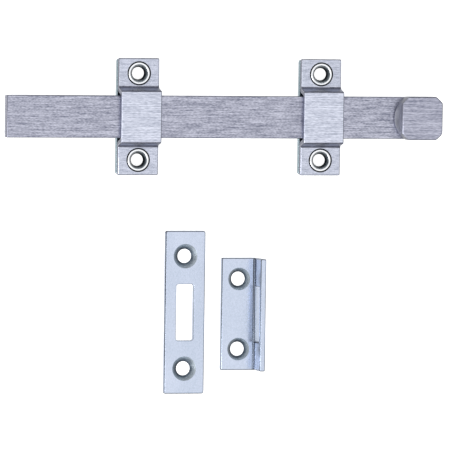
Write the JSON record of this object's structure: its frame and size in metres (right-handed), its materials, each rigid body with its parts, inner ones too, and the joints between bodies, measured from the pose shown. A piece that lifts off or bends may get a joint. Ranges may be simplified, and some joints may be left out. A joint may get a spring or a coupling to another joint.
{
  "type": "flat bar surface bolt",
  "caption": "Sliding flat bar with a low thumb knob in strap guides on back plates, with a flat mortise strike and an angle strike.",
  "frame": {"origin": "under the middle of the kit's bounding box, on the plane that every back face lies on", "axes": "+X along the bar from its free end to its knob, +Y across the bar away from the strikes, +Z out of the door, away from the mounting face"},
  "size_m": [0.201, 0.1514, 0.015],
  "materials": {
    "satin_chrome": "satin chrome plate, brushed along the bar",
    "zinc_plate": "bright blue-white zinc plate",
    "spring_steel": "plain spring steel",
    "screw_steel": "plain machine screw steel"
  },
  "bodies": {
    "guides": {"left_guide_strap": "satin_chrome", "left_back_plate": "zinc_plate", "left_upper_eyelet": "zinc_plate", "left_lower_eyelet": "zinc_plate", "left_leaf_spring": "spring_steel", "right_guide_strap": "satin_chrome", "right_back_plate": "zinc_plate", "right_upper_eyelet": "zinc_plate", "right_lower_eyelet": "zinc_plate", "right_leaf_spring": "spring_steel"},
    "bolt": {"bolt_bar": "satin_chrome", "thumb_knob": "satin_chrome", "knob_screw_left": "screw_steel", "knob_screw_right": "screw_steel"},
    "loose_mortise_strike": {"mortise_strike": "zinc_plate"},
    "loose_angle_strike": {"angle_strike": "zinc_plate"}
  },
  "joints": [
    {"name": "bolt_slide", "type": "slide", "parent": "guides", "child": "bolt", "axis": [-1, 0, 0], "range_m": [-0.0518, 0.0236]},
    {"name": "mortise_strike_lift", "type": "slide", "parent": "guides", "child": "loose_mortise_strike", "axis": [0, 0, 1], "range_m": [0, 0.04]},
    {"name": "angle_strike_lift", "type": "slide", "parent": "guides", "child": "loose_angle_strike", "axis": [0, 0, 1], "range_m": [0, 0.04]}
  ]
}
